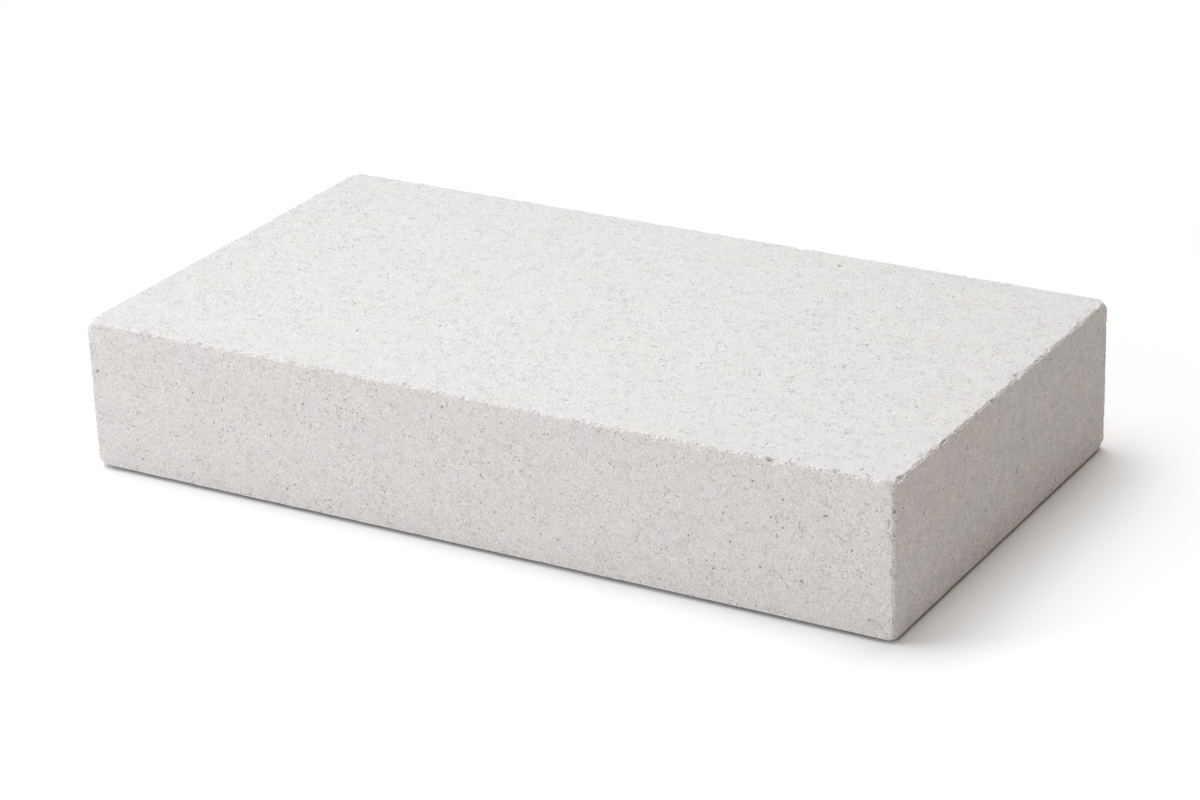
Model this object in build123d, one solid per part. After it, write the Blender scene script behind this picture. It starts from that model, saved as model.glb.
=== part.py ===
from build123d import *
from itertools import product
import os

# A calcium silicate levelling block, in millimetres: one solid, pressed from lime
# and sand and hardened in steam. It lies on its bed face. The origin is the middle
# of that face, +X runs along the wall, +Y across it and +Z up.

# Driving dimensions
block_length = 437.0
block_width = 240.0
block_height = 78.0
corner_wear = 5.5    # how far along its three edges each corner has rubbed away
arris_radius = 1.6   # every edge, as pressed and handled


def sharp_block():
    """The block at its full size, before an edge or a corner is worn."""
    on_its_bed = (Align.CENTER, Align.CENTER, Align.MIN)
    return Box(block_length, block_width, block_height, align=on_its_bed)


def wear_corners(block):
    """Each corner loses what lies outside a plane across its three edges."""
    for toward_x, toward_y, toward_z in product((-1, 1), repeat=3):
        worn_back_to = Vector(
            toward_x * (block_length / 2 - corner_wear),
            toward_y * block_width / 2,
            block_height * (1 + toward_z) / 2,
        )
        outward = Vector(toward_x, toward_y, toward_z)
        wear_plane = Plane(origin=worn_back_to, z_dir=outward)
        block = split(block, bisect_by=wear_plane, keep=Keep.BOTTOM)
    return block


def round_arrises(block):
    """Every edge is rounded, those round the worn corners too."""
    return fillet(block.edges(), arris_radius)


def levelling_block():
    """The whole object: one piece, solid all through, with six plain faces."""
    return round_arrises(wear_corners(sharp_block()))


os.makedirs("parts", exist_ok=True)
export_step(levelling_block(), "parts/levelling_block.step")
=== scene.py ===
# %% [markdown]
# A calcium silicate levelling block, as Blender shows it
#
# The block is one pressed piece of lime and sand, hardened in steam: chalky white, fine
# as sandpaper, dead flat on its faces, and a little crumbled along its arrises, which is
# what masons call its edges. The construction model gives its exact size. This lesson
# gives it its surface: worn corners, ragged arrises, pores and sand grains.
#
# Everything is in metres, in the frame of the construction model: the block lies on z = 0
# with the origin in the middle of its bed, X along its length and Y across its width.

import math
import random
from collections import namedtuple

import bmesh
import bpy
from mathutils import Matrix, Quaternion, Vector, kdtree, noise


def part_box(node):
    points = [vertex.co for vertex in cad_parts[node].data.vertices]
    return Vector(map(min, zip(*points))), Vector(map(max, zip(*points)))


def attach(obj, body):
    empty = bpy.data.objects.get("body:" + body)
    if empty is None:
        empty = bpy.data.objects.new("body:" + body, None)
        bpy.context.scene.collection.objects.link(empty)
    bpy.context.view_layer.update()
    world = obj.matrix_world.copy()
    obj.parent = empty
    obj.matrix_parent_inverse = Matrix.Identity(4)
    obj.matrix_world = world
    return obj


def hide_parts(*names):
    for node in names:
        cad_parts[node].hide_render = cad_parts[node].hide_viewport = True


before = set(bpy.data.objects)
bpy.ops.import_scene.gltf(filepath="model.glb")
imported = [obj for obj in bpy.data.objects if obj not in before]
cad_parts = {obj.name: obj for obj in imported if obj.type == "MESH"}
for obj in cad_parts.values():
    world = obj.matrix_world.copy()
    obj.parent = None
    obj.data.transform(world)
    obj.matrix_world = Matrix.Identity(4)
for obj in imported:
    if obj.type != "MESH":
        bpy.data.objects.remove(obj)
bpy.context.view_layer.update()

# %% [markdown]
# The block's box
#
# The wall's module gives the real block its size. Here the size is read from the
# construction model and never typed again, so what is made below always fits it.

# %% Sizes that the whole lesson uses
millimetre = 0.001
block_low, block_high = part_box("levelling_block")
block_size = block_high - block_low
block_middle = (block_low + block_high) / 2
low_mm = [round(side / millimetre, 1) for side in block_low]
high_mm = [round(side / millimetre, 1) for side in block_high]
print("block from", low_mm, "to", high_mm, "mm")

# %% [markdown]
# The camera
#
# The picture was taken from in front and to the right of the block, from a little above,
# with a long lens, so that its edges run almost parallel. The angles and the lens come
# from the block's own edges in the picture. The camera is rolled by about two degrees.

# %% Place the camera
camera_azimuth = math.radians(30.61)
camera_elevation = math.radians(23.10)
camera_roll = math.radians(-1.854)
camera_distance = 1.7231
camera_aim = Vector((0.01131, -0.0167, 0.039))
camera_lens = 106.34
film_width = 36.0
nearest_seen = 0.05
furthest_seen = 30.0

towards_camera = Vector((
    math.sin(camera_azimuth) * math.cos(camera_elevation),
    -math.cos(camera_azimuth) * math.cos(camera_elevation),
    math.sin(camera_elevation),
))
camera_data = bpy.data.cameras.new("camera")
camera_data.lens = camera_lens
camera_data.sensor_width = film_width
camera_data.clip_start = nearest_seen
camera_data.clip_end = furthest_seen
camera = bpy.data.objects.new("camera", camera_data)
camera.rotation_mode = "QUATERNION"
camera.location = camera_aim + towards_camera * camera_distance
looking = (-towards_camera).to_track_quat("-Z", "Y")
camera.rotation_quaternion = looking @ Quaternion((0.0, 0.0, 1.0), camera_roll)
bpy.context.collection.objects.link(camera)
bpy.context.scene.camera = camera
print("camera at", [round(place, 3) for place in camera.location])

# %% [markdown]
# The block's body
#
# A press leaves a plain box, so the mesh starts as a cube stretched to the construction
# model's box. Handling has rubbed its eight corners off, each a little differently, so a
# plane cuts each one away. A bevel then rounds every arris, as the press mould and the
# pallet have done. A subdivision surface could round them too, but a bevel keeps the
# faces dead flat, and that flatness is what makes a building block look right.

# %% Make the box, wear its corners and round its arrises
arris_radius = 0.6 * millimetre
arris_segments = 2
round_profile = 0.5
corner_wear = 5.5 * millimetre
corner_unevenness = 1.6 * millimetre
corner_tilt = 0.25


def stretched_cube():
    """A cube drawn out to the block's own box."""
    block = bmesh.new()
    bmesh.ops.create_cube(block, size=1.0)
    bmesh.ops.scale(block, vec=block_size, verts=block.verts)
    bmesh.ops.translate(block, vec=block_middle, verts=block.verts)
    return block


def everything(block):
    """All the geometry of a mesh, for the operators that cut it."""
    return block.verts[:] + block.edges[:] + block.faces[:]


def outward_corners():
    """The eight corners of the block's box, each with the direction that points out of it."""
    for toward_x in (-1, 1):
        for toward_y in (-1, 1):
            for toward_z in (-1, 1):
                outward = Vector((toward_x, toward_y, toward_z))
                corner = Vector([
                    block_middle[axis] + outward[axis] * block_size[axis] / 2
                    for axis in range(3)
                ])
                yield corner, outward


def wear_corners(block, dice):
    """Each corner loses what lies outside a slightly tilted plane."""
    for corner, outward in outward_corners():
        depth = corner_wear - corner_unevenness * dice.random()
        tilted = Vector([
            side * dice.uniform(1.0 - corner_tilt, 1.0 + corner_tilt)
            for side in outward
        ])
        inward_step = outward.normalized() * (depth / math.sqrt(3.0))
        cut = bmesh.ops.bisect_plane(
            block,
            geom=everything(block),
            plane_co=corner - inward_step,
            plane_no=tilted,
            clear_outer=True,
        )
        rim = [part for part in cut["geom_cut"] if isinstance(part, bmesh.types.BMEdge)]
        bmesh.ops.contextual_create(block, geom=rim)


def round_arrises(block):
    """Rounds every edge by the same radius."""
    bmesh.ops.bevel(
        block,
        geom=block.edges[:],
        offset=arris_radius,
        offset_type="OFFSET",
        segments=arris_segments,
        profile=round_profile,
        affect="EDGES",
        clamp_overlap=True,
        material=-1,
    )


block = stretched_cube()
wear_corners(block, random.Random(11))
round_arrises(block)
bmesh.ops.recalc_face_normals(block, faces=block.faces[:])
print("body", len(block.verts), "vertices,", len(block.faces), "faces")

# %% [markdown]
# A mesh fine enough to carry wear
#
# Crumbled arrises and pores need vertices to move, but only where they are: a grid fine
# enough for a pore all over the block would need millions of faces. So planes first cut
# the whole body into a coarse grid, and the edges near the arrises and the pores are then
# halved, level by level. The large faces between them stay coarse, because they are flat.

# %% Cut the coarse grid
grid_step = 5.2 * millimetre
on_the_plane = 0.001 * millimetre
nearly_level = 0.999


def cut_along(block, axis, picked):
    """Cuts the picked geometry by evenly spaced planes, square to one axis."""
    low = block_low[axis] + arris_radius
    high = block_high[axis] - arris_radius
    steps = round((high - low) / grid_step)
    square_to = Vector((0.0, 0.0, 0.0))
    square_to[axis] = 1.0
    for step in range(1, steps):
        place = block_middle.copy()
        place[axis] = low + (high - low) * step / steps
        bmesh.ops.bisect_plane(
            block,
            geom=picked(block),
            dist=on_the_plane,
            plane_co=place,
            plane_no=square_to,
        )


def sides_only(block):
    """What stands upright, each part once and always in the same order."""
    upright = [face for face in block.faces if abs(face.normal.z) < nearly_level]
    edges = dict.fromkeys(edge for face in upright for edge in face.edges)
    verts = dict.fromkeys(vert for face in upright for vert in face.verts)
    return list(verts) + list(edges) + upright


cut_along(block, 0, everything)
cut_along(block, 1, everything)
cut_along(block, 2, sides_only)
print("coarse grid", len(block.faces), "faces")

# %% [markdown]
# Where the pores are
#
# Air leaves small hollows in the pressed sand, and handling knocks single grains out. The
# smallest are left to the material. The larger ones, up to four millimetres long, are
# real hollows. Most are scattered over the six faces by seeded dice, so that each run is
# alike. Those that the picture shows clearly are listed one by one: pits on the three faces
# that it shows, chips along the front arris of the top, and one slit in the end.

# %% Sizes and places of the pores, in millimetres where no unit is given
pores_per_square_metre = 200.0
smallest_pore = 0.35 * millimetre
largest_pore = 0.70 * millimetre
shallowest_share = 0.6
longest_stretch = 2.2
pore_margin = 3.0 * millimetre
seen_depth_share = 0.9

# on the long face: along, up and the radius
front_pits = (
    (185.3, 55.8, 0.75), (-91.3, 57.5, 0.55), (-213.7, 52.2, 0.7), (-71.6, 38.5, 0.45),
    (-17.5, 41.4, 0.4), (6.5, 40.1, 0.4), (24.1, 45.1, 0.45), (-177.7, 63.5, 0.4),
    (-133.2, 69.5, 0.45), (134.2, 46.9, 0.4), (137.5, 33.3, 0.45), (198.1, 41.7, 0.5),
    (128.6, 18.2, 0.5), (198.6, 31.1, 0.4), (189.3, 18.8, 0.4),
)
# on the top: along, across and the radius
top_pits = (
    (175.5, -79.9, 0.6), (120.1, -98.2, 0.4), (126.0, -76.4, 0.4), (74.6, -26.0, 0.5),
    (105.3, -12.6, 0.5), (128.3, -17.7, 0.45), (140.9, -11.7, 0.55), (-207.9, -97.8, 0.5),
)
# on the right end: across, up and the radius
end_pits = (
    (-118.8, 64.3, 0.9), (-119.0, 52.9, 0.8), (-16.2, 77.0, 0.9), (-43.2, 64.4, 0.6),
    (-41.0, 66.5, 0.4), (-19.8, 51.6, 0.4), (-19.8, 55.0, 0.4),
)
# along the front arris of the top: along and the radius
front_chips = (
    (61.5, 0.40), (121.5, 0.50), (140.5, 0.35), (151.0, 0.45), (161.5, 0.35), (195.5, 0.35),
)
chip_stretch = 2.4
chip_below_top = 0.4
# the slit in the right end: across and up
end_slit = (12.0, 30.7)
slit_radius = 0.42
slit_stretch = 3.2
print(len(front_pits) + len(top_pits) + len(end_pits), "pits and", len(front_chips), "chips by hand")

# %% Place the pores
Pore = namedtuple("Pore", "place outward radius depth long_way stretch")


def face_frames():
    """Each face of the block: its middle, its outward normal and its two half sides."""
    for axis in range(3):
        for side in (-1, 1):
            outward = Vector((0.0, 0.0, 0.0))
            outward[axis] = side
            middle = block_middle.copy()
            middle[axis] += side * block_size[axis] / 2
            across = [other for other in range(3) if other != axis]
            yield middle, outward, across


def any_way(outward, dice):
    """A direction in the face, at random."""
    long_way = outward.orthogonal().normalized()
    long_way.rotate(Quaternion(outward, dice.uniform(0.0, math.pi)))
    return long_way


def scatter_pores(dice):
    """Pores all over the block, more of the small than the large."""
    pores = []
    for middle, outward, across in face_frames():
        first, second = across
        room_first = block_size[first] / 2 - pore_margin
        room_second = block_size[second] / 2 - pore_margin
        count = round(4.0 * room_first * room_second * pores_per_square_metre)
        for _ in range(count):
            place = middle.copy()
            place[first] += dice.uniform(-room_first, room_first)
            place[second] += dice.uniform(-room_second, room_second)
            radius = smallest_pore + (largest_pore - smallest_pore) * dice.random() ** 2
            depth = radius * dice.uniform(shallowest_share, 1.0)
            stretch = dice.uniform(1.0, longest_stretch)
            pores.append(Pore(place, outward, radius, depth, any_way(outward, dice), stretch))
    return pores


def seen_pores(dice):
    """The pits, the chips and the slit that the picture shows clearly."""
    front = low_mm[1]
    top = high_mm[2]
    right = high_mm[0]
    forwards = Vector((0, -1, 0))
    upwards = Vector((0, 0, 1))
    rightwards = Vector((1, 0, 0))
    pits = [(Vector((x, front, z)), forwards, radius) for x, z, radius in front_pits]
    pits += [(Vector((x, y, top)), upwards, radius) for x, y, radius in top_pits]
    pits += [(Vector((right, y, z)), rightwards, radius) for y, z, radius in end_pits]
    pores = []
    for in_mm, outward, radius_mm in pits:
        radius = radius_mm * millimetre
        stretch = dice.uniform(1.0, longest_stretch)
        depth = radius * seen_depth_share
        pores.append(Pore(in_mm * millimetre, outward, radius, depth, any_way(outward, dice), stretch))
    for x, radius_mm in front_chips:
        place = Vector((x, front, top - chip_below_top)) * millimetre
        radius = radius_mm * millimetre
        pores.append(Pore(place, forwards, radius, radius, rightwards, chip_stretch))
    across, up = end_slit
    place = Vector((right, across, up)) * millimetre
    radius = slit_radius * millimetre
    pores.append(Pore(place, rightwards, radius, radius, upwards, slit_stretch))
    return pores


pores = scatter_pores(random.Random(23)) + seen_pores(random.Random(5))
pore_tree = kdtree.KDTree(len(pores))
for index, pore in enumerate(pores):
    pore_tree.insert(pore.place, index)
pore_tree.balance()
print(len(pores), "pores")

# %% [markdown]
# How far the wear reaches
#
# In the picture the near top corner has been knocked most, and the arrises at the foot
# least. The fine band of the mesh follows that: it is broader where more will break away.

# %% Halve the edges near arrises and pores
knocked_corner = Vector((block_high.x, block_low.y, block_high.z))
knocked_reach = 280.0 * millimetre
corner_knocks = 0.45
foot_band = 4.0 * millimetre
foot_knocks = 0.6

# in millimetres: the longest edge that stays, and how far from an arris and from a pore
halvings = (
    (3.1, 5.5, 3.0),
    (1.6, 3.2, 1.5),
    (0.85, 1.8, 0.8),
    (0.45, 0.75, 0.4),
    (0.26, 0.0, 0.1),
)


def eased(amount):
    """0 below 0, 1 above 1 and a smooth curve between."""
    held = min(max(amount, 0.0), 1.0)
    return held * held * (3.0 - 2.0 * held)


def sides_of(point, axis):
    """How far a point is inside the nearer of two opposite faces, and the way inwards."""
    below = point[axis] - block_low[axis]
    above = block_high[axis] - point[axis]
    return (below, 1.0) if below < above else (above, -1.0)


def arris_distance(point):
    """How far a point of the surface lies from the nearest arris of the sharp box."""
    gaps = sorted(sides_of(point, axis)[0] for axis in range(3))
    return gaps[1]


def knocks_at(point):
    """How much an arris has been knocked about: most at the near top corner, least at the foot."""
    if point.z - block_low.z < foot_band:
        return foot_knocks
    away = (point - knocked_corner).length / knocked_reach
    return 1.0 + corner_knocks * eased(1.0 - away)


def halve_edges(block, longest, arris_reach, pore_reach):
    """Halves the edges that are longer than this and near an arris or a pore."""
    chosen = []
    for edge in block.edges:
        if edge.calc_length() <= longest:
            continue
        middle = (edge.verts[0].co + edge.verts[1].co) / 2
        if arris_distance(middle) < arris_reach * knocks_at(middle):
            chosen.append(edge)
            continue
        _, index, gap = pore_tree.find(middle)
        pore = pores[index]
        if gap < pore.radius * pore.stretch ** 0.5 + pore_reach:
            chosen.append(edge)
    bmesh.ops.subdivide_edges(block, edges=chosen, cuts=1, use_grid_fill=True)


for halving in halvings:
    longest, arris_reach, pore_reach = [size * millimetre for size in halving]
    halve_edges(block, longest, arris_reach, pore_reach)
many_sided = [face for face in block.faces if len(face.verts) > 4]
bmesh.ops.triangulate(block, faces=many_sided)
triangles = sum(len(face.verts) - 2 for face in block.faces)
print("fine mesh", triangles, "triangles")

# %% [markdown]
# Worn corners
#
# Sand rubs away evenly at a corner, so no straight cut is left on it. Smoothing the
# vertices round each cut a few times does the same, and needs no second shape.

# %% Smooth the worn corners
corner_reach = 9.0 * millimetre
corner_smoothings = 6
smoothing_share = 0.5


def smooth_corners(block):
    """Rounds off the eight worn corners. Returns how many vertices that moved."""
    moved = 0
    for corner, _ in outward_corners():
        nearby = [vert for vert in block.verts if (vert.co - corner).length < corner_reach]
        moved += len(nearby)
        for _ in range(corner_smoothings):
            bmesh.ops.smooth_vert(
                block,
                verts=nearby,
                factor=smoothing_share,
                use_axis_x=True,
                use_axis_y=True,
                use_axis_z=True,
            )
    return moved


print("smoothed", smooth_corners(block), "vertices round the corners")

# %% [markdown]
# Crumbled arrises
#
# Sand has crumbled away along the arrises: a little everywhere, and more in small chips.
# A texture could paint that, but it would leave the outline straight. So every vertex
# near an arris moves inwards, by an amount that a noise pattern gives, and the edge runs
# ragged without ever leaving the block's box. The rim of the bed has been dragged over
# the ground and is worn up by about a millimetre, so a thin dark gap runs round the foot.
#
# Two attributes tell the material about it. "arris" is 1 on an arris and falls to 0 a few
# millimetres away, and "foot" is 1 on the lip of the worn rim, where the material paints
# shade.

# %% Crumble the arrises
least_spall = 0.4 * millimetre
broad_spall = 0.7 * millimetre
fine_spall = 0.9 * millimetre
grit_spall = 0.6 * millimetre
chip_spall = 1.5 * millimetre
facet_roughness = 0.20 * millimetre
foot_lift = 1.3 * millimetre
foot_unevenness = 0.25 * millimetre
foot_depth = 6.0 * millimetre
foot_fullness = 0.3
arris_band = 4.0 * millimetre

# how many waves of each noise pattern go into a millimetre
broad_waves = 0.15
fine_waves = 0.43
grit_waves = 1.1
chip_waves = 0.16
facet_waves = 1.3
foot_waves = 0.06

# where the chips' pattern begins to break a chip off, and how far it rises to a full chip
chip_from = 0.42
chip_rise = 0.2


def pattern(in_mm, waves, shift=(0.0, 0.0, 0.0)):
    """A smooth noise, from -1 to 1, at a place in millimetres."""
    return noise.noise(in_mm * waves + Vector(shift))


def spall_at(in_mm):
    """How far the break reaches from the arris here, measured along both faces together."""
    broad = 0.5 + 0.5 * pattern(in_mm, broad_waves, (31.0, 7.0, 3.0))
    fine = 0.5 + 0.5 * pattern(in_mm, fine_waves)
    grit = pattern(in_mm, grit_waves, (8.0, 3.0, 51.0))
    chip = eased((pattern(in_mm, chip_waves, (5.0, 61.0, 17.0)) - chip_from) / chip_rise)
    reach = least_spall + broad_spall * broad + fine_spall * fine * fine
    return reach + grit_spall * grit + chip_spall * chip


def spall(vert):
    """Breaks the arrises back to a rough slope. Returns 1 on an arris and 0 away from it."""
    in_mm = vert.co / millimetre
    reach = spall_at(in_mm) * knocks_at(vert.co)
    crumb = facet_roughness * pattern(in_mm, facet_waves, (2.0, 44.0, 8.0))
    closest = arris_band
    for first, second in ((0, 1), (0, 2), (1, 2)):
        first_gap, first_inward = sides_of(vert.co, first)
        second_gap, second_inward = sides_of(vert.co, second)
        away = first_gap + second_gap
        closest = min(closest, away)
        at_foot = second == 2 and second_inward > 0.0
        if at_foot or reach <= away:
            continue
        step = max((reach - away + crumb) / 2.0, 0.0)
        vert.co[first] += first_inward * step
        vert.co[second] += second_inward * step
    return 1.0 - closest / arris_band


def lift_foot(vert):
    """Wears the bed's rim upwards, so a thin dark gap runs round it. Returns 1 on its lip."""
    rise = vert.co.z - block_low.z
    gap = min(sides_of(vert.co, axis)[0] for axis in (0, 1))
    if rise >= foot_band or gap >= foot_depth:
        return 0.0
    uneven = pattern(vert.co / millimetre, foot_waves, (60.0, 2.0, 13.0))
    lift = foot_lift + foot_unevenness * uneven
    rise_share = 1.0 - rise / foot_band
    gap_share = 1.0 - gap / foot_depth
    vert.co.z += lift * rise_share * gap_share ** foot_fullness
    return rise_share * gap_share


arris_layer = block.verts.layers.float.new("arris")
pore_layer = block.verts.layers.float.new("pore")
foot_layer = block.verts.layers.float.new("foot")
for vert in block.verts:
    vert[arris_layer] = spall(vert)
    vert[foot_layer] = lift_foot(vert)
on_arrises = sum(vert[arris_layer] > 0.0 for vert in block.verts)
print(on_arrises, "vertices in the crumbled bands")

# %% [markdown]
# Pores and chips
#
# A pore is a shallow bowl, longer one way and never quite round, because it follows the
# grains that are missing. Cutting bowls out of the mesh would be slow and would leave
# slivers. Here the vertices near each place sink, and the attribute "pore" keeps how deep.

# %% Press in the pores
rim_raggedness = 0.45
rim_waves = 1.1
widest_rim = 1.4
bowl_fullness = 0.7
vert_tree = kdtree.KDTree(len(block.verts))
block.verts.ensure_lookup_table()
for index, vert in enumerate(block.verts):
    vert_tree.insert(vert.co, index)
vert_tree.balance()


def press_pore(block, pore):
    """Hollows the surface round one place: longer one way, and with a ragged rim."""
    search = pore.radius * pore.stretch * widest_rim
    for point, index, _ in vert_tree.find_range(pore.place, search):
        reach = point - pore.place
        along = reach.dot(pore.long_way)
        reach -= pore.long_way * (along * (1.0 - 1.0 / pore.stretch))
        ragged = 1.0 + rim_raggedness * pattern(point / millimetre, rim_waves)
        share = reach.length / (pore.radius * ragged)
        if share >= 1.0:
            continue
        hollow = (1.0 - share * share) ** bowl_fullness
        vert = block.verts[index]
        vert.co = vert.co - pore.outward * (pore.depth * hollow)
        vert[pore_layer] = max(vert[pore_layer], hollow)


for pore in pores:
    press_pore(block, pore)
in_pores = sum(vert[pore_layer] > 0.0 for vert in block.verts)
print(in_pores, "vertices pressed in")

# %% [markdown]
# Faces that aren't quite flat
#
# No pressed face is quite flat. A slow pattern sinks each one by up to about a tenth of a
# millimetre, which only a low light picks out.

# %% Leave the faces a little uneven
unevenness = 0.12 * millimetre
uneven_waves = 0.025
on_a_face = 0.01 * millimetre


def settle_face(vert):
    """Sinks a vertex of a flat face by a slow, shallow pattern. Returns how deep it sank."""
    slow = 0.5 + 0.5 * pattern(vert.co / millimetre, uneven_waves, (3.0, 9.0, 27.0))
    sunk = 0.0
    for axis in range(3):
        gap, inward = sides_of(vert.co, axis)
        if gap < on_a_face:
            vert.co[axis] += inward * unevenness * slow
            sunk = unevenness * slow
    return sunk


deepest = 0.0
for vert in block.verts:
    deepest = max(deepest, settle_face(vert))
print("faces sink by up to", round(deepest / millimetre, 3), "mm")

# %% [markdown]
# One piece
#
# The finished mesh is one piece, as the block is, and takes the place of the construction
# model's solid. Its faces are shaded smooth, but what breaks has sharp edges, so the folds
# of the broken slopes are marked sharp. The press has ironed the top and the bed and not
# the sides, so two more attributes tell the material which way a face looks: "upright" is
# 1 on the four sides, and "end" is 1 on the two ends. The material also uses them to paint
# the sides and ends a little lighter, as painted light.

# %% Turn the mesh into the piece that the render shows
sharp_fold = math.radians(28.0)
bmesh.ops.recalc_face_normals(block, faces=block.faces[:])
block.normal_update()
upright_layer = block.verts.layers.float.new("upright")
end_layer = block.verts.layers.float.new("end")
for vert in block.verts:
    vert[upright_layer] = 1.0 - abs(vert.normal.z)
    vert[end_layer] = abs(vert.normal.x)
for face in block.faces:
    face.smooth = True
folds = [edge for edge in block.edges if edge.calc_face_angle(0.0) > sharp_fold]
for edge in folds:
    edge.smooth = False
print(len(folds), "sharp folds")
block_mesh = bpy.data.meshes.new("pressed_block")
block.to_mesh(block_mesh)
block.free()
pressed_block = bpy.data.objects.new("pressed_block", block_mesh)
bpy.context.collection.objects.link(pressed_block)
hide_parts("levelling_block")
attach(pressed_block, "root")
print("pressed block", len(block_mesh.vertices), "vertices")

# %% [markdown]
# A way to write materials
#
# A material is a web of nodes, which is slow to read when each node and link takes a line
# of its own. Finish makes any node in one call, and Tone wraps a node's output, so that
# Python's own signs add the Math nodes: 1 - mask, or grain * 0.1.

# %% The two helpers


class Tone:
    """A number that changes over the surface. Arithmetic on it adds Math nodes."""

    def __init__(self, finish, socket):
        self.finish = finish
        self.socket = socket

    def maths(self, operation, first, second):
        node = self.finish.node("ShaderNodeMath", {"operation": operation}, {0: first, 1: second})
        return Tone(self.finish, node.outputs[0])

    def __add__(self, other):
        return self.maths("ADD", self, other)

    def __radd__(self, other):
        return self.maths("ADD", other, self)

    def __sub__(self, other):
        return self.maths("SUBTRACT", self, other)

    def __rsub__(self, other):
        return self.maths("SUBTRACT", other, self)

    def __mul__(self, other):
        return self.maths("MULTIPLY", self, other)

    def __rmul__(self, other):
        return self.maths("MULTIPLY", other, self)

    def __truediv__(self, other):
        return self.maths("DIVIDE", self, other)

    def at_least(self, other):
        return self.maths("MAXIMUM", self, other)

    def above(self, low, high):
        """0 at low, 1 at high, and a smooth curve between."""
        settings = {"interpolation_type": "SMOOTHSTEP"}
        node = self.finish.node("ShaderNodeMapRange", settings, {
            "Value": self, "From Min": low, "From Max": high,
        })
        return Tone(self.finish, node.outputs["Result"])


class Finish:
    """The node tree of one material or of the world."""

    def __init__(self, owner):
        owner.use_nodes = True
        self.tree = owner.node_tree
        self.tree.nodes.clear()

    def node(self, kind, settings, inputs):
        """Adds a node: its settings first, then a value or a link for each named socket."""
        node = self.tree.nodes.new(kind)
        for name, value in settings.items():
            setattr(node, name, value)
        for key, value in inputs.items():
            self.fill(self.socket(node, key), value)
        return node

    def socket(self, node, key):
        """A socket by its number, its identifier or its name."""
        if isinstance(key, int):
            return node.inputs[key]
        for socket in node.inputs:
            if socket.identifier == key:
                return socket
        return node.inputs[key]

    def fill(self, socket, value):
        """Links a tone or another node's output, or writes a plain value."""
        if isinstance(value, Tone):
            self.tree.links.new(value.socket, socket)
        elif isinstance(value, bpy.types.NodeSocket):
            self.tree.links.new(value, socket)
        else:
            socket.default_value = value

    def tone(self, kind, settings, inputs, output):
        """Adds a node and gives one of its outputs as a tone."""
        return Tone(self, self.node(kind, settings, inputs).outputs[output])

    def blend(self, amount, first, second, blend_type="MIX"):
        """Mixes two colours and gives the colour's socket."""
        node = self.node(
            "ShaderNodeMix",
            {"data_type": "RGBA", "blend_type": blend_type},
            {"Factor_Float": amount, "A_Color": first, "B_Color": second},
        )
        return next(socket for socket in node.outputs if socket.identifier == "Result_Color")


# %% [markdown]
# Sand and lime
#
# Seen close, the surface is quartz sand held in white lime: most grains are nearly as
# white as the binder, some are tan, a few are dark, and between them lie pinholes. Seen
# from further away it is a chalky off-white with faint warm and grey clouds. Each of
# those is one layer here. The layers are patterns in the solid, looked up in millimetres
# on the block, so that they run on round every arris at their real size. A flat picture
# wrapped round the block would show a seam there.

# %% The colours of the block


def paint(red, green, blue):
    """A colour with full alpha, in linear light."""
    return (red, green, blue, 1.0)


lime_white = paint(0.776, 0.756, 0.739)
lavender_cloud = paint(0.771, 0.747, 0.743)
straw_cloud = paint(0.777, 0.757, 0.721)
light_grain = paint(0.96, 0.94, 0.92)
tan_grain = paint(0.52, 0.43, 0.34)
dark_grain = paint(0.28, 0.25, 0.22)
# painted shade, for the pores, pits, flecks and creases
pore_shade = paint(0.24, 0.205, 0.17)
# fresh lime on broken arrises, which also paints the highlight that the arrises catch
fresh_and_highlit_arris = paint(0.90, 0.865, 0.83)
end_stain = paint(0.985, 0.966, 0.952)
# painted shade: the dark contact line along the lip of the foot
painted_foot_shade = paint(0.085, 0.075, 0.065)
print("the lime is", lime_white[:3])

# %% Patterns in millimetres
crumb_waves = 0.9
crumb_reach = 1.1


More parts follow.
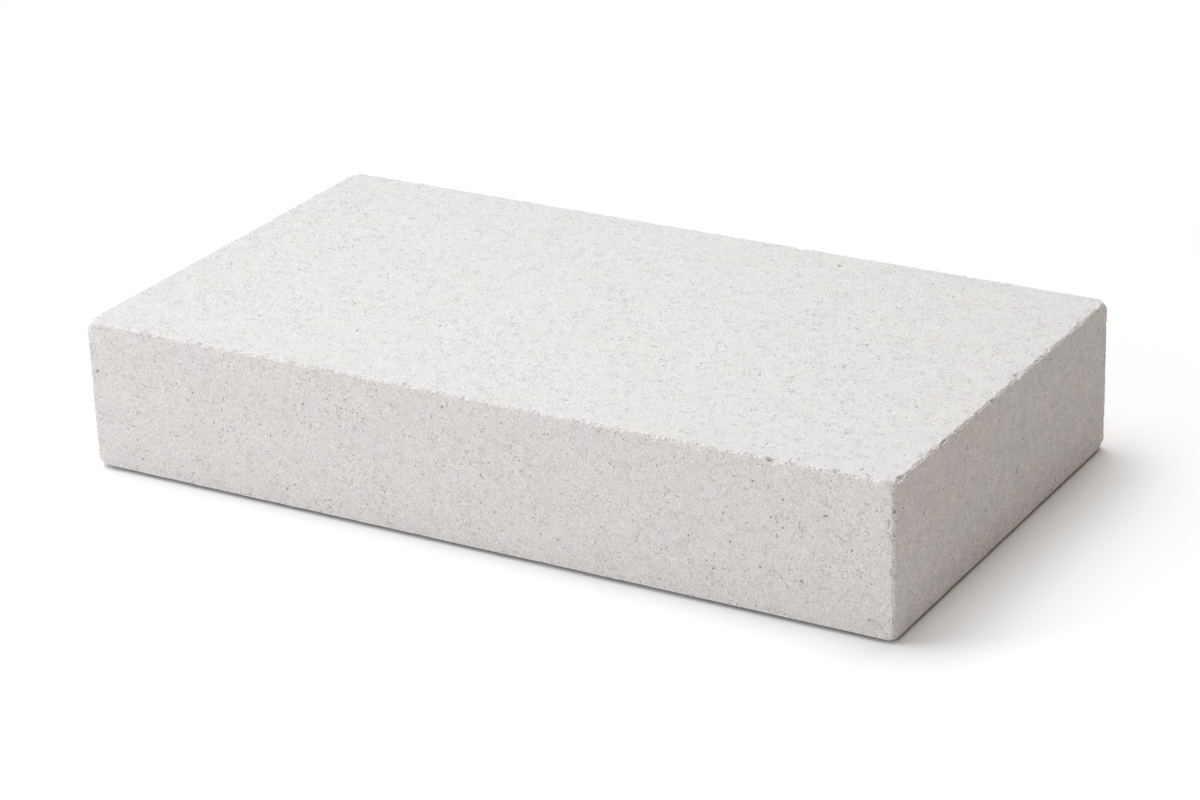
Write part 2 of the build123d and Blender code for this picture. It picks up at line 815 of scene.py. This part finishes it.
class Stone(Finish):
    """The block's material, with its patterns at their real size in millimetres."""

    def __init__(self, owner):
        super().__init__(owner)
        place = self.node("ShaderNodeTexCoord", {}, {}).outputs["Object"]
        per_metre = 1.0 / millimetre
        self.in_mm = self.node(
            "ShaderNodeMapping",
            {"vector_type": "POINT"},
            {"Vector": place, "Scale": (per_metre, per_metre, per_metre)},
        ).outputs["Vector"]
        self.ragged_mm = self.wandering()

    def wandering(self):
        """Places that wander a little, because crumbs are ragged and not round."""
        wander = self.node(
            "ShaderNodeTexNoise",
            {"noise_dimensions": "3D"},
            {"Vector": self.in_mm, "Scale": crumb_waves, "Detail": 1.0},
        ).outputs["Color"]
        reach = self.node(
            "ShaderNodeVectorMath", {"operation": "SCALE"}, {0: wander, "Scale": crumb_reach}
        ).outputs["Vector"]
        return self.moved(self.in_mm, reach)

    def moved(self, vector, shift):
        """A place, moved by a fixed step or by another pattern."""
        return self.node(
            "ShaderNodeVectorMath", {"operation": "ADD"}, {0: vector, 1: shift}
        ).outputs["Vector"]

    def clouds(self, size_mm, detail, shift):
        """Soft blotches of one size, from 0 to 1 and mostly about a half."""
        return self.tone(
            "ShaderNodeTexNoise",
            {"noise_dimensions": "3D"},
            {"Vector": self.moved(self.in_mm, shift), "Scale": 1.0 / size_mm, "Detail": detail},
            "Fac",
        )

    def crumbs(self, size_mm, shift):
        """Crowded crumbs of one size: the distance to each one's middle, and its three dice."""
        node = self.node(
            "ShaderNodeTexVoronoi",
            {"voronoi_dimensions": "3D", "feature": "F1"},
            {"Vector": self.moved(self.ragged_mm, shift), "Scale": 1.0 / size_mm, "Randomness": 1.0},
        )
        dice = self.node("ShaderNodeSeparateColor", {"mode": "RGB"}, {"Color": node.outputs["Color"]})
        return Tone(self, node.outputs["Distance"]), [Tone(self, part) for part in dice.outputs]

    def remembered(self, name):
        """An attribute of the mesh, as a tone."""
        return self.tone("ShaderNodeAttribute", {"attribute_name": name}, {}, "Fac")

    def brighten(self, colour, amount):
        """A colour times a tone."""
        grey = self.node("ShaderNodeCombineColor", {"mode": "RGB"}, {
            "Red": amount, "Green": amount, "Blue": amount,
        }).outputs["Color"]
        return self.blend(1.0, colour, grey, "MULTIPLY")


block_material = bpy.data.materials.new("calcium_silicate")
stone = Stone(block_material)
upright = stone.remembered("upright")
end = stone.remembered("end")
print("places take", len(stone.tree.nodes), "nodes")

# %% Two slow clouds, which come and go apart from each other
lavender_strength = 0.7
lavender = stone.clouds(size_mm=20.0, detail=4.0, shift=(0.0, 0.0, 0.0)).above(0.40, 0.60)
straw = stone.clouds(size_mm=24.0, detail=4.0, shift=(70.0, 20.0, 10.0)).above(0.42, 0.64)
colour = stone.blend(straw, lime_white, straw_cloud)
colour = stone.blend(lavender * lavender_strength, colour, lavender_cloud)
print("with the clouds", len(stone.tree.nodes), "nodes")

# %% [markdown]
# The sand's light and shade
#
# A fine speckle and coarser clusters of it lie all over. The press has ironed the top and
# the bed, so the four sides are grittier, and the ends are the most blotchy. Each pattern
# lightens and darkens the colour by its strength, to both sides of a half. The sides, and
# the ends more, are also painted a little lighter, as painted light on the dimmer faces.

# %% Speckle the sand
speckle_strength = 0.31
grain_strength = 0.12
cluster_strength = 0.08
side_grit = 0.46
# painted light: this and the ends' lightening below make the dimmer faces lighter
side_painted_light = 0.02
end_speckle = 0.22
end_clump = 0.14
end_cluster = 0.14
end_painted_light = 0.03

speckle = stone.clouds(size_mm=1.0, detail=2.0, shift=(11.0, 5.0, 2.0))
grit = stone.clouds(size_mm=0.55, detail=1.0, shift=(90.0, 14.0, 37.0))
clump = stone.clouds(size_mm=2.6, detail=2.0, shift=(64.0, 12.0, 31.0))
cluster = stone.clouds(size_mm=6.0, detail=2.0, shift=(17.0, 50.0, 22.0))
grain_gap, grain_dice = stone.crumbs(size_mm=0.8, shift=(0.0, 0.0, 0.0))

everywhere = (speckle - 0.5) * speckle_strength + (grain_dice[0] - 0.5) * grain_strength
everywhere = everywhere + (cluster - 0.5) * cluster_strength
on_sides = (grit - 0.5) * side_grit + side_painted_light
on_ends = (speckle - 0.5) * end_speckle + (clump - 0.5) * end_clump
on_ends = on_ends + (cluster - 0.5) * end_cluster + end_painted_light
colour = stone.brighten(colour, 1.0 + everywhere + on_sides * upright + on_ends * end)
print("with the speckle", len(stone.tree.nodes), "nodes")

# %% Sow single grains, by their dice
light_dice = (0.88, 0.90)
tan_dice = (0.04, 0.05)
dark_dice = (0.985, 0.99)
light_strength = 0.6
side_light_strength = 0.3
tan_strength = 0.45
dark_strength = 0.7

grain_core = 1.0 - grain_gap.above(0.25, 0.5)
light = grain_dice[1].above(*light_dice) * grain_core
tan = (1.0 - grain_dice[1].above(*tan_dice)) * grain_core
dark = grain_dice[2].above(*dark_dice) * grain_core
colour = stone.blend(light * (light_strength + upright * side_light_strength), colour, light_grain)
colour = stone.blend(tan * tan_strength, colour, tan_grain)
colour = stone.blend(dark * dark_strength, colour, dark_grain)
print("with the grains", len(stone.tree.nodes), "nodes")

# %% [markdown]
# What is missing from the surface
#
# Broken arrises show fresh lime, painted a little whiter than the rest, and the whitening
# also paints the highlight that the arrises catch. Short curved creases stay where the sand
# hasn't quite closed up in the press. Flecks lie between the grains, with a few larger
# pits, and both are crowded in places. They are too small for the mesh, so the shade in
# them is painted as dark colour, with a little relief. The creases and the real pores are
# darkened with the same painted shade.

# %% Whiten the broken arrises: fresh lime, and painted highlight along them
fresh_and_highlight_strength = 0.32
arris = stone.remembered("arris")
from_arris_mm = (1.0 - arris) * (arris_band / millimetre)
fresh_and_highlight_reach_mm = stone.clouds(size_mm=2.6, detail=3.0, shift=(40.0, 4.0, 9.0)) * 5.0 - 1.2
fresh_and_highlight = (fresh_and_highlight_reach_mm - from_arris_mm).above(-0.15, 0.35)
colour = stone.blend(fresh_and_highlight * fresh_and_highlight_strength, colour, fresh_and_highlit_arris)
print("with the arrises", len(stone.tree.nodes), "nodes")

# %% Draw the creases, in painted shade
crease_width = 0.03
crease_strength = 0.25
fold = (stone.clouds(size_mm=2.8, detail=2.0, shift=(51.0, 7.0, 90.0)) - 0.5) / crease_width
patches = stone.clouds(size_mm=5.0, detail=2.0, shift=(23.0, 71.0, 6.0)).above(0.50, 0.62)
crease = (1.0 - fold * fold).at_least(0.0) * patches
colour = stone.blend(crease * crease_strength, colour, pore_shade)
print("with the creases", len(stone.tree.nodes), "nodes")

# %% Prick the flecks and pits, and shade the real pores, all in painted shade
fleck_size = 0.34
fleck_strength = 0.6
pit_size = 0.17
pit_strength = 0.8
pore_strength = 0.6

crowding = stone.clouds(size_mm=9.0, detail=2.0, shift=(8.0, 33.0, 5.0)).above(0.35, 0.65)
crowding = crowding * 0.8 + 0.4
fleck_gap, fleck_dice = stone.crumbs(size_mm=1.3, shift=(9.0, 27.0, 4.0))
fleck_radius = fleck_dice[0].above(0.60, 1.0) * crowding * fleck_size
fleck = (fleck_radius - fleck_gap).above(-0.03, 0.10)
pit_gap, pit_dice = stone.crumbs(size_mm=3.0, shift=(3.0, 1.0, 8.0))
pit_radius = pit_dice[0].above(0.60, 1.0) * crowding * pit_size
pit = (pit_radius - pit_gap).above(-0.02, 0.05)
pressed_in = stone.remembered("pore").above(0.1, 0.8)
colour = stone.blend(fleck * fleck_strength, colour, pore_shade)
colour = stone.blend(pit * pit_strength, colour, pore_shade)
colour = stone.blend(pressed_in * pore_strength, colour, pore_shade)
print("with flecks, pits and pores", len(stone.tree.nodes), "nodes")

# %% [markdown]
# Stain and painted shade
#
# The right end has a faint warm stain near its top front corner, and the lip of the foot
# is darkened with painted shade, for the contact shadow under the block. Each is one mask
# and one colour.

# %% Stain the right end and paint shade on the lip of the foot
stain_across = (-70.0, 10.0)
stain_up = (28.0, 60.0)
stain_along = (high_mm[0] - 1.5, high_mm[0] - 1.0)
lip = (0.72, 0.86)
foot_shade_strength = 0.95

in_mm = stone.node("ShaderNodeSeparateXYZ", {}, {"Vector": stone.in_mm}).outputs
near_side = 1.0 - Tone(stone, in_mm["Y"]).above(*stain_across)
upper_side = Tone(stone, in_mm["Z"]).above(*stain_up)
right_end = Tone(stone, in_mm["X"]).above(*stain_along) * end
colour = stone.blend(right_end * near_side * upper_side, colour, end_stain, "MULTIPLY")
# painted shade on the lip of the foot, for the contact shadow under the block
on_lip = stone.remembered("foot").above(*lip)
colour = stone.blend(on_lip * foot_shade_strength, colour, painted_foot_shade)
print("with stain and grime", len(stone.tree.nodes), "nodes")

# %% [markdown]
# Relief and sheen
#
# The block feels like sandpaper: grains stand proud, pits and creases sink. That is well
# under a millimetre, so a bump does it. Lime is matt, with hardly any sheen.

# %% Give the surface its relief, and the piece its material
speckle_proud = 0.45
clump_proud = 0.25
side_clump_less = 0.12
grain_proud = 0.08
side_grit_proud = 0.32
crease_deep = 0.12
pit_deep = 0.3
fleck_deep = 0.15
least_roughness = 0.86
speckle_roughness = 0.12

grains = speckle * speckle_proud + clump * (clump_proud - upright * side_clump_less)
grains = grains + (1.0 - grain_gap) * grain_proud + grit * upright * side_grit_proud
relief_mm = grains - crease * crease_deep - pit * pit_deep - fleck * fleck_deep
bump = stone.node("ShaderNodeBump", {}, {
    "Strength": 1.0, "Distance": millimetre, "Height": relief_mm,
}).outputs["Normal"]
surface = stone.node("ShaderNodeBsdfPrincipled", {}, {
    "Base Color": colour,
    "Roughness": least_roughness + speckle * speckle_roughness,
    "Specular IOR Level": 0.3,
    "Diffuse Roughness": 0.6,
    "Normal": bump,
})
stone.node("ShaderNodeOutputMaterial", {}, {"Surface": surface.outputs["BSDF"]})
pressed_block.data.materials.append(block_material)
print("whole material", len(stone.tree.nodes), "nodes")

# %% [markdown]
# The studio
#
# The block lies on a plain white table. Its top is brightest, its long face a little
# darker, and its end is in shade, with a soft shadow beside it: the light comes from above
# and the left. Near the block the floor is an ordinary diffuse white, so that it takes the
# shadow. Further out it glows at a strength of 1 for the camera alone, so that it is an
# even white however far the lamps are. For the light that bounces it is a warm grey.

# %% Lay the floor
floor_radius = 6.0
floor_segments = 64
floor_bounce = paint(0.80, 0.785, 0.77)
floor_seen = paint(1.0, 1.0, 1.0)
glow_from = 0.36
glow_full = 0.50


def seen_directly(finish):
    """1 for what the camera sees, straight or through a shiny or clear thing."""
    path = finish.node("ShaderNodeLightPath", {}, {})
    camera_ray = Tone(finish, path.outputs["Is Camera Ray"])
    glossy_ray = Tone(finish, path.outputs["Is Glossy Ray"])
    clear_ray = Tone(finish, path.outputs["Is Transmission Ray"])
    return camera_ray.at_least(glossy_ray).at_least(clear_ray)


floor_shape = bmesh.new()
bmesh.ops.create_circle(floor_shape, cap_ends=True, segments=floor_segments, radius=floor_radius)
floor_mesh = bpy.data.meshes.new("floor")
floor_shape.to_mesh(floor_mesh)
floor_shape.free()
floor = bpy.data.objects.new("floor", floor_mesh)
bpy.context.collection.objects.link(floor)

floor_material = bpy.data.materials.new("studio_floor")
floor_finish = Finish(floor_material)
floor_is_seen = seen_directly(floor_finish)
floor_colour = floor_finish.blend(floor_is_seen, floor_bounce, floor_seen)
floor_surface = floor_finish.node("ShaderNodeBsdfDiffuse", {}, {"Color": floor_colour})
floor_place = floor_finish.node("ShaderNodeTexCoord", {}, {}).outputs["Object"]
floor_away = Tone(floor_finish, floor_finish.node(
    "ShaderNodeVectorMath", {"operation": "LENGTH"}, {0: floor_place}
).outputs["Value"])
floor_glow = floor_finish.node("ShaderNodeEmission", {}, {"Color": floor_seen, "Strength": 1.0})
floor_mix = floor_finish.node("ShaderNodeMixShader", {}, {
    "Fac": floor_is_seen * floor_away.above(glow_from, glow_full),
    1: floor_surface.outputs["BSDF"],
    2: floor_glow.outputs["Emission"],
})
floor_finish.node("ShaderNodeOutputMaterial", {}, {"Surface": floor_mix.outputs["Shader"]})
floor_mesh.materials.append(floor_material)
print("floor", 2 * floor_radius, "m across")

# %% [markdown]
# The lamps
#
# One soft light from above, the left and a little behind makes the shadow. A soft box over
# the block's left half lets its top fade towards the right, as in the picture. Two more
# boxes, from the left and from the front, keep the long face light, and the room itself
# gives a warm, even light to what the lamps don't reach.

# %% Hang the lamps
key_tint = (0.96, 0.984, 1.0)
key_strength = 1.95
key_softness = math.radians(60.0)
key_slant = math.tan(math.radians(20.0))
key_direction = Vector((-key_slant, key_slant, 1.0))
# each box's name, place, side in metres, power in watts and tint
soft_boxes = (
    ("over", Vector((-0.08, -0.12, 0.80)), 0.45, 2.08, (0.825, 0.905, 1.0)),
    ("left", Vector((-1.40, -0.90, 0.50)), 0.90, 16.4, (0.930, 0.953, 1.0)),
    ("front", Vector((0.30, -1.00, 0.40)), 0.60, 1.72, (0.905, 0.952, 1.0)),
)


def hang(name, data, towards, place):
    """Puts a lamp in the scene, shining from its place against a direction."""
    lamp = bpy.data.objects.new(name, data)
    lamp.rotation_mode = "QUATERNION"
    lamp.rotation_quaternion = towards.to_track_quat("Z", "Y")
    lamp.location = place
    bpy.context.collection.objects.link(lamp)
    print(name, "lamp at", [round(part, 2) for part in place])


key_data = bpy.data.lights.new("key", "SUN")
key_data.energy = key_strength
key_data.angle = key_softness
key_data.color = key_tint
hang("key", key_data, key_direction, key_direction)

for name, place, side, power, tint in soft_boxes:
    box_data = bpy.data.lights.new(name, "AREA")
    box_data.energy = power
    box_data.size = side
    box_data.color = tint
    hang(name, box_data, place - block_middle, place)

# %% Light the room
room_light = 0.249
room_tint = paint(1.0, 0.87, 0.771)
room = bpy.data.worlds.new("studio")
bpy.context.scene.world = room
room_finish = Finish(room)
seen = seen_directly(room_finish)
room_colour = room_finish.blend(seen, room_tint, floor_seen)
room_strength = seen * (1.0 - room_light) + room_light
backdrop = room_finish.node("ShaderNodeBackground", {}, {
    "Color": room_colour, "Strength": room_strength,
})
room_finish.node("ShaderNodeOutputWorld", {}, {"Surface": backdrop.outputs["Background"]})
print("room light", room_light)

# %% [markdown]
# Colours as they are written
#
# A film look would bend the off-white of the block. The plain view shows each colour as
# the lamps and the material give it.

# %% Show colours plainly
bpy.context.scene.view_settings.view_transform = "Standard"
print("view", bpy.context.scene.view_settings.view_transform)
